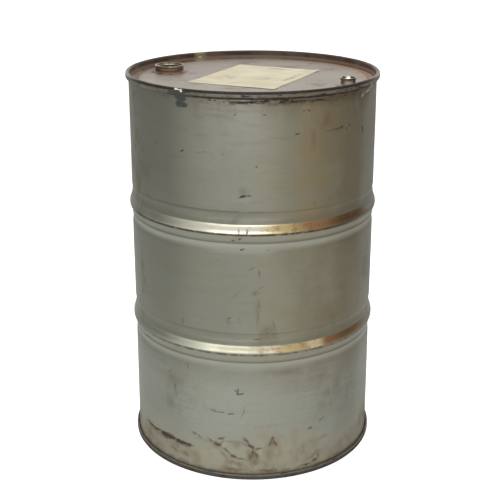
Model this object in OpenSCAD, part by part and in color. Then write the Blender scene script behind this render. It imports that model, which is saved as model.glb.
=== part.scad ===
// Steel drum with fixed heads, the common 200 litre size: a rolled body with two rolling
// hoops, two heads joined to it by triple seams, two screw plugs and a paper label.
// Millimetres, +Z up, origin at the middle of the ring that the drum stands on.

/* [Drum] */
// Height over both chimes
drum_h = 895; // [720:5:1080]
// Inside diameter of the body
body_id = 566; // [460:1:690]
// Thickness of the sheet that the body and both heads are made of
sheet_t = 1.2; // [0.9:0.1:1.5]

/* [Rolling hoops] */
// Height of the upper hoop's crest
upper_hoop_z = 591; // [480:1:640]
// Height of the lower hoop's crest
lower_hoop_z = 313; // [200:1:380]
// How far a crest stands out of the body
crest_rise = 5.8; // [2:0.1:7]
// Height of a crest from foot to foot
crest_w = 44; // [30:1:56]
// Depth of the shallow grooves above and below a crest
groove_depth = 1.5; // [0.5:0.1:3]
// Height of one of those grooves
groove_w = 26; // [16:1:32]

/* [Chimes] */
// Height of the rolled seam
seam_h = 13.5; // [12.5:0.1:18]
// Gap between the rolled layers, which the sealing compound fills
seam_gap = 0.06; // [0.04:0.01:0.1]
// Width of the flat ring on the crown of a seam
crown_flat = 1; // [0.6:0.1:1.2]
// Length of the ring of sealing compound in the fold
seal_h = 2; // [1:0.1:2.5]

/* [Heads] */
// Depth of the head's panel below the chime
head_recess = 18; // [16:0.5:24]
// Width of the lower ring between the chime and the panel
ring_w = 14; // [8:0.5:20]
// Step from the panel down to that ring
ring_step = 3; // [1:0.5:5]
// Rounding of the step
step_round = 4; // [3:0.5:6]
// Rounding at the foot of the chime's inner wall
corner_round = 6; // [3:0.5:8]

/* [Plug holes] */
// Height of the collars over the panel
collar_h = 11; // [9:0.5:12]
// Height of the eight-sided bosses that the collars stand on
boss_h = 2; // [1:0.5:3]
// Turn of the bosses' corners from the X axis
boss_turn = -12; // [-22:1:22]
// Rounding at the foot of a collar
foot_round = 3; // [2:0.5:4]
// Rounding of the lip that is closed over the flange's neck
lip_round = 1.4; // [1:0.1:2]
// Thickness of a flange's base
base_t = 3.5; // [2.5:0.5:5]
// Thickness of the gaskets
gasket_t = 1.5; // [1:0.1:2]
// Height of a plug's rim
rim_h = 4; // [3:0.5:4.5]
// Clearance between a flange and the pocket and collar that it is pressed into
seat_gap = 0.1; // [0.05:0.05:0.2]
// Clearance between a gasket and what it lies round
gasket_gap = 0.3; // [0.2:0.1:0.6]
// How far a plug gasket's edge lies inside the edge of the rim over it
gasket_inset = 1; // [0.5:0.1:1.5]
// Running clearance between a plug's thread and its flange's thread
thread_gap = 0.05; // [0.02:0.01:0.1]

/* [Large plug] */
// Distance of the large plug's axis from the chime's inner wall
large_inset = 74.3; // [64:0.1:120]
// Direction of the large plug from the drum's axis
large_angle = 160.9; // [130:0.1:200]
// Mean radius of the two inch pipe thread
large_thread_r = 29.1; // [24:0.1:32]
// Wall of the flange's neck
large_neck_t = 2.8; // [2:0.1:4]
// How far the boss's corners stand out beyond the neck
large_boss_w = 9.1; // [8:0.1:11]
// How far the rim stands out beyond the neck
large_rim_w = 2.3; // [1.5:0.1:4]
// Length of the plug below its rim
large_skirt_h = 21; // [18:0.5:28]

/* [Small plug] */
// Distance of the small plug's axis from the chime's inner wall
small_inset = 46.9; // [45:0.1:120]
// Direction of the small plug from the drum's axis
small_angle = -26.6; // [-30:0.1:40]
// Mean radius of the three-quarter inch pipe thread
small_thread_r = 12.7; // [11:0.1:15]
// Wall of the flange's neck
small_neck_t = 2.3; // [2:0.1:4]
// How far the boss's corners stand out beyond the neck
small_boss_w = 6.6; // [6.4:0.1:9]
// How far the rim stands out beyond the neck
small_rim_w = 3; // [1.5:0.1:4]
// Length of the plug below its rim
small_skirt_h = 17; // [15:0.5:24]

/* [Plugs] */
// Wall of a plug
plug_wall = 2.2; // [1.5:0.1:3]
// Edge radius of a plug's rim
rim_round = 0.9; // [0.4:0.1:1.2]
// Height of the two lugs that a plug wrench turns, over the plug's floor
lug_h = 7; // [4:0.5:9]
// Width of a lug
lug_w = 5; // [3:0.5:6]

/* [Label] */
// Long side of the paper label
label_l = 270; // [200:1:280]
// Short side of the paper label
label_w = 212; // [150:1:220]
// Thickness of the paper
label_t = 0.2; // [0.1:0.05:0.3]
// Place of the label's middle, right of the drum's axis
label_x = 7; // [-5:1:15]
// Place of the label's middle, behind the drum's axis
label_y = 3; // [-5:1:15]
// Turn of the label's long side from the X axis
label_turn = 65; // [55:1:75]

/* [Hidden] */

$fn = 180;
arc_n = 6;                                  // straight stretches in a quarter turn of sheet
hoop_n = 40;                                // straight stretches over one hoop

// The seam has seven layers, counted outwards. The body's wall is layer 2, and the head
// lies inside it as layer 1 and around it as layer 7.
layer_pitch = sheet_t + seam_gap;
body_r = (body_id + sheet_t)/2;             // middle of the body's sheet
crown_h = -(sheet_t/2 + 3*layer_pitch - crown_flat/2);   // level of the crown's centres
turn_h = -(seam_h - 2*layer_pitch - sheet_t/2);          // level of the lower turns' centre
panel_h = -(head_recess + sheet_t/2);       // middle of the panel's sheet
ring_h = panel_h - ring_step;               // middle of the lower ring's sheet
panel_z = drum_h - head_recess;             // upper face of the top panel
step_angle = acos(1 - ring_step/(2*step_round));
boss_z = panel_z + boss_h;                  // upper face of the bosses
lip_z = panel_z + collar_h;                 // upper face of the collars' lips
rim_z = lip_z + gasket_t;                   // underside of the plugs' rims
octagon_slope = cos(180/8);

function layer(k) = body_r + (k - 2)*layer_pitch;
chime_inner_r = layer(1) - sheet_t/2;
function reversed(v) = [for (i = [len(v) - 1:-1:0]) v[i]];

// Points on the middle line of a bent sheet: radius, height, and the direction of one face.
// side is 1 where that face is on the outside of the bend, and -1 where it is inside.
function bend(c, r, a0, a1, side = 1) =
    [for (i = [0:arc_n]) let (a = a0 + (a1 - a0)*i/arc_n)
        [c.x + r*cos(a), c.y + r*sin(a), side*cos(a), side*sin(a)]];

// Outline of a sheet that follows such points
function sheet(path) = concat(
    [for (q = path) [q[0] + q[2]*sheet_t/2, q[1] + q[3]*sheet_t/2]],
    [for (q = reversed(path)) [q[0] - q[2]*sheet_t/2, q[1] - q[3]*sheet_t/2]]);

// The bend over the crown of the seam, k layers out from its middle
function crown_bend(k) = let (r = k*layer_pitch - crown_flat/2) concat(
    bend([layer(4) - crown_flat/2, crown_h], r, 180, 90),
    bend([layer(4) + crown_flat/2, crown_h], r, 90, 0));

// The body's edge in the seam, from the wall to its end: over, down and up again
body_edge = concat(crown_bend(2),
    bend([layer(5), turn_h], layer_pitch, 0, -180),
    [[layer(4), crown_h - seal_h, -1, 0]]);

// The head from its middle: panel, step, lower ring, inner wall and the rolled edge
step_mid_r = layer(1) - corner_round - ring_w;
step_dx = step_round*sin(step_angle);
head_path = concat(
    [[0, panel_h, 0, 1]],
    bend([step_mid_r - step_dx, panel_h - step_round], step_round, 90, 90 - step_angle),
    bend([step_mid_r + step_dx, ring_h + step_round], step_round, 270 - step_angle, 270, -1),
    bend([layer(1) - corner_round, ring_h + corner_round], corner_round, 270, 360, -1),
    crown_bend(3),
    bend([layer(5), turn_h], 2*layer_pitch, 0, -180),
    crown_bend(1),
    [[layer(5), turn_h + seam_gap*2, 1, 0]]);

// How far the body's sheet stands out at a height of u over a hoop's crest
function hoop_rise(u) = abs(u) < crest_w/2
    ? crest_rise*(1 + cos(360*u/crest_w))/2
    : -groove_depth*(1 - cos(360*(abs(u) - crest_w/2)/groove_w))/2;

function hoop(z) = [for (i = [0:hoop_n]) let (u = (crest_w/2 + groove_w)*(2*i/hoop_n - 1))
    [body_r + hoop_rise(u), z + u, -1, 0]];

function raised(path, z) = [for (q = path) [q[0], q[1] + z, q[2], q[3]]];
function upside_down(path) = [for (q = reversed(path)) [q[0], -q[1], q[2], -q[3]]];

module octagon_plate(corner_r, z0, z1)
    translate([0, 0, z0]) rotate(boss_turn) cylinder(r = corner_r, h = z1 - z0, $fn = 8);

module head_sheet() rotate_extrude() polygon(sheet(head_path));

module seal_ring()
    rotate_extrude()
        translate([layer(4) - sheet_t/2, crown_h - seal_h + seam_gap])
            square([sheet_t, seal_h - seam_gap]);

// The boss and collar that the head is pressed into round a flange, on the plug's axis
module boss_and_collar(neck_r, boss_w) {
    corner_r = neck_r + boss_w;
    wall_r = neck_r + seat_gap + sheet_t/2;
    wall_top = lip_z - sheet_t/2;
    difference() {
        octagon_plate(corner_r, panel_z - sheet_t, boss_z);
        octagon_plate(corner_r - sheet_t/octagon_slope, panel_z - 2*sheet_t, boss_z - sheet_t);
        translate([0, 0, panel_z])
            cylinder(r = wall_r + foot_round, h = 2*boss_h);
    }
    rotate_extrude()
        polygon(sheet(concat(
            bend([wall_r + foot_round, boss_z - sheet_t/2 + foot_round], foot_round, 270, 180),
            bend([wall_r - lip_round, wall_top - lip_round], lip_round, 0, 90, -1),
            [[neck_r - lip_round, wall_top, 0, -1]])));
}

// The steel ring with the female thread, seen from below as an eight-sided plate
module flange(thread_r, neck_r, boss_w) {
    base_top = boss_z - sheet_t - gasket_t;
    base_r = neck_r + boss_w - sheet_t/octagon_slope - 3*seat_gap;
    difference() {
        union() {
            octagon_plate(base_r, base_top - base_t, base_top);
            translate([0, 0, base_top - base_t])
                cylinder(r = neck_r, h = lip_z - lip_round - sheet_t - base_top + base_t);
        }
        translate([0, 0, base_top - 2*base_t])
            cylinder(r = thread_r, h = collar_h + 3*base_t);
    }
}

module ring(inner_r, outer_r, z0, h)
    translate([0, 0, z0]) difference() {
        cylinder(r = outer_r, h = h);
        translate([0, 0, -h]) cylinder(r = inner_r, h = 3*h);
    }

module flange_gasket(neck_r, boss_w)
    ring(neck_r + gasket_gap,
         (neck_r + boss_w - sheet_t/octagon_slope)*octagon_slope - gasket_gap,
         boss_z - sheet_t - gasket_t, gasket_t);

module plug_gasket(thread_r, rim_r)
    ring(thread_r + gasket_gap, rim_r - gasket_inset, lip_z, gasket_t);

// A cup with a rim, the male thread on its skirt and two lugs inside for the wrench
module plug(thread_r, rim_r, skirt_h) {
    skirt_r = thread_r - thread_gap;
    cup_r = skirt_r - plug_wall;
    mouth_r = rim_r - plug_wall*1.5;
    floor_z = rim_z - skirt_h;
    top_z = rim_z + rim_h;
    rotate_extrude()
        polygon([[0, floor_z], [skirt_r - rim_round, floor_z], [skirt_r, floor_z + rim_round],
                 [skirt_r, rim_z], [rim_r - rim_round/2, rim_z], [rim_r, rim_z + rim_round/2],
                 [rim_r, top_z - rim_round], [rim_r - rim_round, top_z],
                 [mouth_r + rim_round, top_z], [mouth_r, top_z - rim_round],
                 [mouth_r, rim_z + plug_wall/2], [cup_r, rim_z - plug_wall],
                 [cup_r, floor_z + plug_wall], [0, floor_z + plug_wall]]);
    for (a = [0, 180])
        rotate(a)
            translate([cup_r - lug_w, -lug_w/2, floor_z + plug_wall/2])
                cube([lug_w + plug_wall/2, lug_w, plug_wall/2 + lug_h]);
}

// Moves a plug's parts from the drum's axis to their place on the head
module on_head(inset, angle) {
    r = chime_inner_r - inset;
    translate([r*cos(angle), r*sin(angle), 0]) children();
}

module at_large() on_head(large_inset, large_angle) children();
module at_small() on_head(small_inset, small_angle) children();
large_neck_r = large_thread_r + large_neck_t;
small_neck_r = small_thread_r + small_neck_t;

module body_shell()
    color([0.53, 0.54, 0.48])
        rotate_extrude()
            polygon(sheet(concat(upside_down(body_edge), hoop(lower_hoop_z),
                                 hoop(upper_hoop_z), raised(body_edge, drum_h))));

module top_head() color([0.56, 0.52, 0.47]) {
    difference() {
        translate([0, 0, drum_h]) head_sheet();
        at_large() octagon_plate(large_neck_r + large_boss_w - sheet_t/octagon_slope,
                                 panel_z - 2*sheet_t, boss_z);
        at_small() octagon_plate(small_neck_r + small_boss_w - sheet_t/octagon_slope,
                                 panel_z - 2*sheet_t, boss_z);
    }
    at_large() boss_and_collar(large_neck_r, large_boss_w);
    at_small() boss_and_collar(small_neck_r, small_boss_w);
}

module bottom_head() color([0.45, 0.42, 0.38]) mirror([0, 0, 1]) head_sheet();

module top_seam_seal() color([0.75, 0.66, 0.42]) translate([0, 0, drum_h]) seal_ring();
module bottom_seam_seal() color([0.75, 0.66, 0.42]) mirror([0, 0, 1]) seal_ring();

module large_flange() color([0.58, 0.58, 0.55])
    at_large() flange(large_thread_r, large_neck_r, large_boss_w);
module large_flange_gasket() color([0.2, 0.2, 0.2])
    at_large() flange_gasket(large_neck_r, large_boss_w);
module large_plug() color([0.68, 0.66, 0.6])
    at_large() plug(large_thread_r, large_neck_r + large_rim_w, large_skirt_h);
module large_plug_gasket() color([0.85, 0.82, 0.74])
    at_large() plug_gasket(large_thread_r, large_neck_r + large_rim_w);

module small_flange() color([0.58, 0.58, 0.55])
    at_small() flange(small_thread_r, small_neck_r, small_boss_w);
module small_flange_gasket() color([0.2, 0.2, 0.2])
    at_small() flange_gasket(small_neck_r, small_boss_w);
module small_plug() color([0.68, 0.66, 0.6])
    at_small() plug(small_thread_r, small_neck_r + small_rim_w, small_skirt_h);
module small_plug_gasket() color([0.85, 0.82, 0.74])
    at_small() plug_gasket(small_thread_r, small_neck_r + small_rim_w);

module paper_label()
    color([0.84, 0.8, 0.66])
        translate([label_x, label_y, panel_z])
            rotate(label_turn)
                translate([-label_l/2, -label_w/2, 0])
                    cube([label_l, label_w, label_t]);

body_shell();
top_head();
bottom_head();
top_seam_seal();
bottom_seam_seal();
large_flange();
large_flange_gasket();
large_plug();
large_plug_gasket();
small_flange();
small_flange_gasket();
small_plug();
small_plug_gasket();
paper_label();
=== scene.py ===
import math
from collections import namedtuple

import bmesh
import bpy
import numpy as np
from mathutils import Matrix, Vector, noise


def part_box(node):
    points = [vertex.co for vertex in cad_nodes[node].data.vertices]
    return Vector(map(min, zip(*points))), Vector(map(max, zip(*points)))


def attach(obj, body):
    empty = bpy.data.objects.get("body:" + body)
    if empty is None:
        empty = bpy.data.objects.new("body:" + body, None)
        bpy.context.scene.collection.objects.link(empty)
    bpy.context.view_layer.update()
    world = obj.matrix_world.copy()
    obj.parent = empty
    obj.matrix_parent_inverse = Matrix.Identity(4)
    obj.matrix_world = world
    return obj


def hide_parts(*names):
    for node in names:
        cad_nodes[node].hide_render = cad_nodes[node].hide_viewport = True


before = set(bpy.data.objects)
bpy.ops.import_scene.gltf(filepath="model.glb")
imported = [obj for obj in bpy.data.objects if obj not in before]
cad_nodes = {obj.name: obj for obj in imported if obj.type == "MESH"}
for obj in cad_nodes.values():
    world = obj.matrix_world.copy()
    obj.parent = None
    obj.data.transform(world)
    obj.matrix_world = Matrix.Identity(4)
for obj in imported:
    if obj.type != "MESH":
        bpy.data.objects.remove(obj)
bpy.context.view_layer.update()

# ---------------------------------------------------------------- sizes, in metres

# The drum's height and its radius over the chimes
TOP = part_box("top_head")[1][2]
CHIME_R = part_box("top_head")[1][0]

# The sheet, and the seam: the step from one layer to the next, the width of its flat crown, the
# radius of the wall inside it and its height
SHEET = 0.0012
LAYER = 0.00126
FLAT = 0.001
WALL_R = CHIME_R - SHEET / 2 - 5 * LAYER
SEAM_H = 0.0135

# The middles of the bends over the seam's crown and under its layers, from the crown's top
CROWN = -(SHEET / 2 + 3 * LAYER - FLAT / 2)
TURN = -(SEAM_H - 2 * LAYER - SHEET / 2)

# The heads: how deep the panel lies, the step down to the ring round it, the roundings of the
# step and of the corner under the chime, and the ring's width
RECESS = 0.018
STEP = 0.003
STEP_ROUND = 0.004
CORNER_ROUND = 0.006
RING_W = 0.014
PANEL_Z = TOP - RECESS

# The bosses' height over the panel, and the height of the collars on them
BOSS_H = 0.002
COLLAR_H = 0.011

# The hoops: their heights, how far they stand out, their height along the wall, and the grooves
# above and below them
HOOPS = (0.313, 0.591)
CREST_RISE = 0.0058
CREST_H = 0.044
GROOVE_H = 0.026
GROOVE_DEPTH = 0.0015

# The two closures: the thread's radius, the radius of the flange's neck, how far the boss and the
# plug's rim stand out past the neck, and the thread's pitch
Closure = namedtuple("Closure", "thread_r neck_r boss_w rim_w pitch")
CLOSURES = {
    "large": Closure(0.0291, 0.0319, 0.0091, 0.0023, 0.002309),
    "small": Closure(0.0127, 0.0150, 0.0066, 0.0030, 0.001814),
}

# The height of a plug's rim, a gasket's clearance round the thread, and a wrench lug's size
RIM_H = 0.004
GASKET_GAP = 0.0003
LUG = (0.0058, 0.005, 0.0077)

# The label's length, width and thickness, and how far it is turned, in degrees
LABEL_L, LABEL_W, LABEL_T, LABEL_TURN = 0.270, 0.212, 0.0002, 65

# The steps round the drum and round a closure, and how near points are merged
AROUND = 240
AROUND_PLUG = 72
MERGE = 2e-5


def middle(node):
    """The middle of a CAD node's box."""
    low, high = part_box(node)
    return tuple((a + b) / 2 for a, b in zip(low, high))


def heights(node):
    """The lowest and the highest point of a CAD node."""
    low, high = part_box(node)
    return low[2], high[2]


def layer(k):
    """Radius of one of the seam's seven layers of sheet, counted outwards."""
    return WALL_R + (k - 2) * LAYER


def arc(r, z, radius, start, end, steps=5):
    """Points of an arc in the section through the drum's axis."""
    turn = [math.radians(start + (end - start) * i / steps) for i in range(steps + 1)]
    return [(r + radius * math.cos(a), z + radius * math.sin(a)) for a in turn]


def crown(k):
    """The bend over the seam's crown, k layers out from its middle."""
    radius = k * LAYER - FLAT / 2
    return (arc(layer(4) - FLAT / 2, CROWN, radius, 180, 90, 4)
            + arc(layer(4) + FLAT / 2, CROWN, radius, 90, 0, 4))


# ---------------------------------------------------------------- modelling by hand

def deselect():
    bpy.ops.object.select_all(action="DESELECT")


def only(piece):
    deselect()
    piece.select_set(True)
    bpy.context.view_layer.objects.active = piece


def edit(piece):
    only(piece)
    bpy.ops.object.mode_set(mode="EDIT")


def done():
    bpy.ops.object.mode_set(mode="OBJECT")


def pick(action="SELECT"):
    """Selects all of the piece that is being edited, or none of it."""
    bpy.ops.mesh.select_all(action=action)


def pick_open_edges():
    pick("DESELECT")
    bpy.ops.mesh.select_mode(type="EDGE")
    bpy.ops.mesh.select_non_manifold()


def merge_points():
    pick()
    bpy.ops.mesh.remove_doubles(threshold=MERGE)


def face_outwards():
    """The last step on a piece that is being edited."""
    bpy.ops.mesh.select_mode(type="VERT")
    pick()
    bpy.ops.mesh.normals_make_consistent(inside=False)
    done()


def named(name):
    piece = bpy.context.object
    piece.name = piece.data.name = name
    return piece


def spun(name, line):
    """A sheet turned about Z: one point is drawn out along the line, then spun."""
    deselect()
    bpy.ops.mesh.primitive_plane_add(size=0.01, location=(0, 0, 0))
    piece = named(name)
    edit(piece)
    pick()
    bpy.ops.mesh.merge(type="CENTER")
    bpy.ops.transform.translate(value=(line[0][0], 0, line[0][1]))
    for (r0, z0), (r1, z1) in zip(line, line[1:]):
        bpy.ops.mesh.extrude_vertices_move(
            TRANSFORM_OT_translate={"value": (r1 - r0, 0, z1 - z0)})
    pick()
    bpy.ops.mesh.spin(steps=AROUND, angle=2 * math.pi, center=(0, 0, 0), axis=(0, 0, 1))
    merge_points()
    face_outwards()
    return piece


def put_ring(piece, centre, ring):
    """Moves the selected ring of points to a radius, which may change with the angle."""
    radius, z = ring
    mesh = bmesh.from_edit_mesh(piece.data)
    for v in mesh.verts:
        if v.select:
            a = math.atan2(v.co.y - centre[1], v.co.x - centre[0])
            r = radius(a) if callable(radius) else radius
            v.co = (centre[0] + r * math.cos(a), centre[1] + r * math.sin(a), z)
    bmesh.update_edit_mesh(piece.data)


def drawn_up(name, centre, rings, sides=AROUND_PLUG, closed=False):
    """A circle that is extruded ring by ring, each set to its radius and height."""
    deselect()
    bpy.ops.mesh.primitive_circle_add(vertices=sides, radius=0.01,
                                      location=(centre[0], centre[1], 0))
    piece = named(name)
    bpy.ops.object.transform_apply(location=True)
    edit(piece)
    pick()
    put_ring(piece, centre, rings[0])
    for ring in rings[1:]:
        bpy.ops.mesh.extrude_edges_move()
        put_ring(piece, centre, ring)
    if closed:
        pick_open_edges()
        bpy.ops.mesh.bridge_edge_loops()
    face_outwards()
    return piece


def thicken(piece, thickness=SHEET):
    only(piece)
    wall = piece.modifiers.new("sheet", "SOLIDIFY")
    wall.thickness = thickness
    wall.offset = 0
    wall.use_even_offset = True
    bpy.ops.object.modifier_apply(modifier=wall.name)


def joined(name, pieces):
    deselect()
    for piece in pieces:
        piece.select_set(True)
    bpy.context.view_layer.objects.active = pieces[0]
    bpy.ops.object.join()
    return named(name)


def smooth(piece, degrees):
    """Shades all but the edges sharper than this as one round face."""
    only(piece)
    bpy.ops.object.shade_smooth_by_angle(angle=math.radians(degrees))


def points_of(piece):
    flat = np.empty(len(piece.data.vertices) * 3)
    piece.data.vertices.foreach_get("co", flat)
    return flat.reshape(-1, 3)


def put_points(piece, points):
    piece.data.vertices.foreach_set("co", points.ravel())
    piece.data.update()


def waves(x, y, z):
    """Smooth random heights, from about -1 to 1, at each of the places."""
    return np.array([noise.noise(place) for place in np.broadcast(x, y, z)])


def ramp(values, start, width):
    """Goes from 0 at the start to 1 over a width, which is negative where it goes downwards."""
    return np.clip((values - start) / width, 0, 1)


# ---------------------------------------------------------------- the body and its dents

# Dents: direction in degrees (0 is the front, 90 the side of the small plug), height,
# half width, half height and depth in metres, and the tilt of the dent's length in degrees.
DENTS = [
    (-7, 0.068, 0.046, 0.044, 0.0042, 8),
    (-16, 0.094, 0.022, 0.010, 0.0016, -20),
    (-64, 0.062, 0.050, 0.008, 0.0022, 6),
    (-38, 0.065, 0.070, 0.009, 0.0030, -3),
    (56, 0.862, 0.030, 0.026, 0.0060, 30),
    (-57, 0.296, 0.022, 0.012, 0.0022, 10),
    (-46, 0.865, 0.080, 0.030, 0.0012, 0),
    (-4, 0.674, 0.022, 0.012, 0.0011, 15),
    (31, 0.055, 0.050, 0.020, 0.0014, 10),
    (118, 0.745, 0.075, 0.050, 0.0035, -20),
    (151, 0.160, 0.060, 0.040, 0.0040, 12),
    (-140, 0.455, 0.085, 0.035, 0.0030, 30),
    (-108, 0.110, 0.040, 0.020, 0.0026, -15),
    (-166, 0.800, 0.045, 0.030, 0.0022, 5),
]


def hoop_rise(u):
    """How far the wall stands out at a height of u over a hoop's crest."""
    past = abs(u) - CREST_H / 2
    if past < 0:
        return CREST_RISE * (1 + math.cos(2 * math.pi * u / CREST_H)) / 2
    if past < GROOVE_H:
        return -GROOVE_DEPTH * (1 - math.cos(2 * math.pi * past / GROOVE_H)) / 2
    return 0


def wall_line():
    """The wall's line from seam to seam, closer set over the hoops."""
    plain, close = 0.0085, 0.0036
    half = CREST_H / 2 + GROOVE_H
    start, end = SEAM_H + 0.002, TOP - SEAM_H - 0.002
    levels = []
    spans = [(start, HOOPS[0] - half, plain), (HOOPS[0] - half, HOOPS[0] + half, close),
             (HOOPS[0] + half, HOOPS[1] - half, plain), (HOOPS[1] - half, HOOPS[1] + half, close),
             (HOOPS[1] + half, end, plain)]
    for low, high, gap in spans:
        steps = math.ceil((high - low) / gap)
        levels += [low + (high - low) * i / steps for i in range(steps)]
    levels.append(end)
    return [(WALL_R + sum(hoop_rise(z - h) for h in HOOPS), z) for z in levels]


def rolled_edge():
    """The body's edge inside the seam: over the crown, down, and up again."""
    return (crown(2) + arc(layer(5), TURN, LAYER, 0, -180, 6)
            + [(layer(4), CROWN - 0.002)])


def press_in(piece):
    """Dents the wall, and lets it wave a little as worn sheet does."""
    p = points_of(piece)
    r = np.hypot(p[:, 0], p[:, 1])
    turn = np.degrees(np.arctan2(p[:, 0], -p[:, 1]))
    free = ramp(p[:, 2], SEAM_H, 0.012) * ramp(p[:, 2], TOP - SEAM_H, -0.012)
    push = np.zeros(len(p))
    for degrees, z, width, height, depth, tilt in DENTS:
        along = np.radians((turn - degrees + 180) % 360 - 180) * WALL_R
        up = p[:, 2] - z
        c, s = math.cos(math.radians(tilt)), math.sin(math.radians(tilt))
        q = np.hypot((along * c + up * s) / width, (up * c - along * s) / height)
        push -= depth * np.exp(-(1.35 * q) ** 2.6)
        push += 0.12 * depth * np.exp(-((q - 1.25) / 0.3) ** 2)
    push += 0.0007 * (waves(p[:, 0] * 7, p[:, 1] * 7, p[:, 2] * 5) - 0.5)
    push = np.minimum(push, 0.0002) * free
    scale = 1 + push / r
    p[:, 0] *= scale
    p[:, 1] *= scale
    put_points(piece, p)


def make_body():
    edge = [(r, z + TOP) for r, z in rolled_edge()]
    foot = [(r, -z) for r, z in reversed(rolled_edge())]
    piece = spun("drum_body", foot + wall_line() + edge)
    press_in(piece)
    thicken(piece)
    smooth(piece, 50)
    return piece


# ---------------------------------------------------------------- the heads

def head_edge():
    """The head's line from its panel outwards, with heights from the chime's top."""
    panel = -(RECESS + SHEET / 2)
    ring = panel - STEP
    angle = math.degrees(math.acos(1 - STEP / (2 * STEP_ROUND)))
    dx = STEP_ROUND * math.sin(math.radians(angle))
    step_r = layer(1) - CORNER_ROUND - RING_W
    return (arc(step_r - dx, panel - STEP_ROUND, STEP_ROUND, 90, 90 - angle, 4)
            + arc(step_r + dx, ring + STEP_ROUND, STEP_ROUND, 270 - angle, 270, 4)
            + arc(layer(1) - CORNER_ROUND, ring + CORNER_ROUND, CORNER_ROUND, 270, 360, 6)
            + crown(3) + arc(layer(5), TURN, 2 * LAYER, 0, -180, 8) + crown(1)
            + [(layer(5), TURN + 0.0002)])


def octagon(corner_r):
    """Radius of an eight-sided outline with rounded corners, by angle."""
    flat_r = corner_r * math.cos(math.pi / 8)
    first = math.radians(-12 + 22.5)

    def radius(a):
        sides = [max(0.0, math.cos(a - first - k * math.pi / 4)) for k in range(8)]
        return flat_r / sum(s ** 30 for s in sides) ** (1 / 30)
    return radius


def boss_rings(neck_r, boss_w):
    """The pressed boss and the collar that is closed over the flange's neck."""
    corner = neck_r + boss_w - SHEET / 2
    low, high = PANEL_Z - SHEET / 2, PANEL_Z + BOSS_H - SHEET / 2
    wall = neck_r + 0.0001 + SHEET / 2
    lip = PANEL_Z + COLLAR_H - SHEET / 2
    foot = 0.003
    top_out = wall + foot
    rings = [(octagon(corner + 0.0012), low), (octagon(corner + 0.0004), low + 0.0002),
             (octagon(corner - 0.0001), low + 0.0007), (octagon(corner - 0.0005), low + 0.0014),
             (octagon(corner - 0.0012), high - 0.0001), (octagon(corner - 0.0021), high)]
    rings += arc(top_out, high + foot, foot, 270, 180, 5)
    rings += arc(wall - 0.0014, lip - 0.0014, 0.0014, 0, 90, 4)
    rings.append((neck_r - 0.0014, lip))
    return rings


def select_faces(piece, wanted):
    """Selects just the faces that are wanted, on the piece that is being edited."""
    pick("DESELECT")
    bpy.ops.mesh.select_mode(type="FACE")
    mesh = bmesh.from_edit_mesh(piece.data)
    for face in mesh.faces:
        face.select = wanted(face)
    bmesh.update_edit_mesh(piece.data)


def fill_panel(piece, level):
    """Fills the head between its ring and the bosses, and cuts the fill into small faces."""
    panel_r, gap, cuts = 0.2595, 0.022, 11
    edit(piece)
    pick("DESELECT")
    mesh = bmesh.from_edit_mesh(piece.data)
    for e in mesh.edges:
        if e.is_boundary and all(abs(v.co.z - level) < 1e-5 for v in e.verts):
            e.select = True
    bmesh.update_edit_mesh(piece.data)
    bpy.ops.mesh.fill(use_beauty=True)
    for normal in ((1, 0, 0), (0, 1, 0)):
        for i in range(-cuts, cuts + 1):
            select_faces(piece, lambda f: all(abs(v.co.z - level) < MERGE for v in f.verts)
                         and math.hypot(*f.calc_center_median()[:2]) < panel_r)
            bpy.ops.mesh.bisect(plane_co=tuple(gap * i * n for n in normal), plane_no=normal)
    bpy.ops.mesh.select_mode(type="VERT")
    merge_points()
    face_outwards()


def make_top_head():
    level = PANEL_Z - SHEET / 2
    edge = spun("drum_head", [(r, z + TOP) for r, z in head_edge()])
    bosses = [drawn_up("boss", middle(size + "_flange")[:2], boss_rings(own.neck_r, own.boss_w), sides=96)
              for size, own in CLOSURES.items()]
    piece = joined("drum_head", [edge] + bosses)
    fill_panel(piece, level)
    p = points_of(piece)
    flat = np.abs(p[:, 2] - level) < 1e-5
    near = ramp(np.hypot(p[:, 0], p[:, 1]), 0.2585, -0.03)
    for flange, reach in (("large_flange", 0.043), ("small_flange", 0.024)):
        centre = middle(flange)
        near *= ramp(np.hypot(p[:, 0] - centre[0], p[:, 1] - centre[1]), reach, 0.03)
    wave = np.minimum(waves(p[:, 0] * 6, p[:, 1] * 6, 0.3), 0.1)
    p[:, 2] += np.where(flat, 0.0006 * near * wave, 0)
    put_points(piece, p)
    thicken(piece)
    smooth(piece, 40)
    return piece


def make_bottom_head():
    panel = -(RECESS + SHEET / 2)
    line = [(0.02 * i, panel) for i in range(13)] + head_edge()
    piece = spun("drum_bottom", [(r, -z) for r, z in line])
    p = points_of(piece)
    r = np.hypot(p[:, 0], p[:, 1])
    p[:, 2] += 0.0006 * ramp(r, 0.25, -0.03) * waves(p[:, 0] * 6, p[:, 1] * 6, 4.7)
    put_points(piece, p)
    thicken(piece)
    smooth(piece, 40)
    return piece


# ---------------------------------------------------------------- plugs and flanges

def threaded(piece, centre, mean_r, pitch, low, high):
    """Cuts a thread into the rows of points that lie at the mean radius."""
    depth = pitch * 0.64
    p = points_of(piece)
    dx, dy = p[:, 0] - centre[0], p[:, 1] - centre[1]
    r = np.hypot(dx, dy)
    a = np.arctan2(dy, dx)
    phase = ((p[:, 2] - a / (2 * math.pi) * pitch) / pitch) % 1
    tooth = np.clip(1.5 * (1 - 4 * np.abs(phase - 0.5)), -1, 1)
    fade = ramp(p[:, 2], low, pitch) * ramp(p[:, 2], high, -pitch)
    on = (np.abs(r - mean_r) < MERGE) & (p[:, 2] > low) & (p[:, 2] < high)
    new_r = np.where(on, r + depth / 2 * tooth * fade, r)
    p[:, 0] = centre[0] + dx / r * new_r
    p[:, 1] = centre[1] + dy / r * new_r
    put_points(piece, p)


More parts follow.
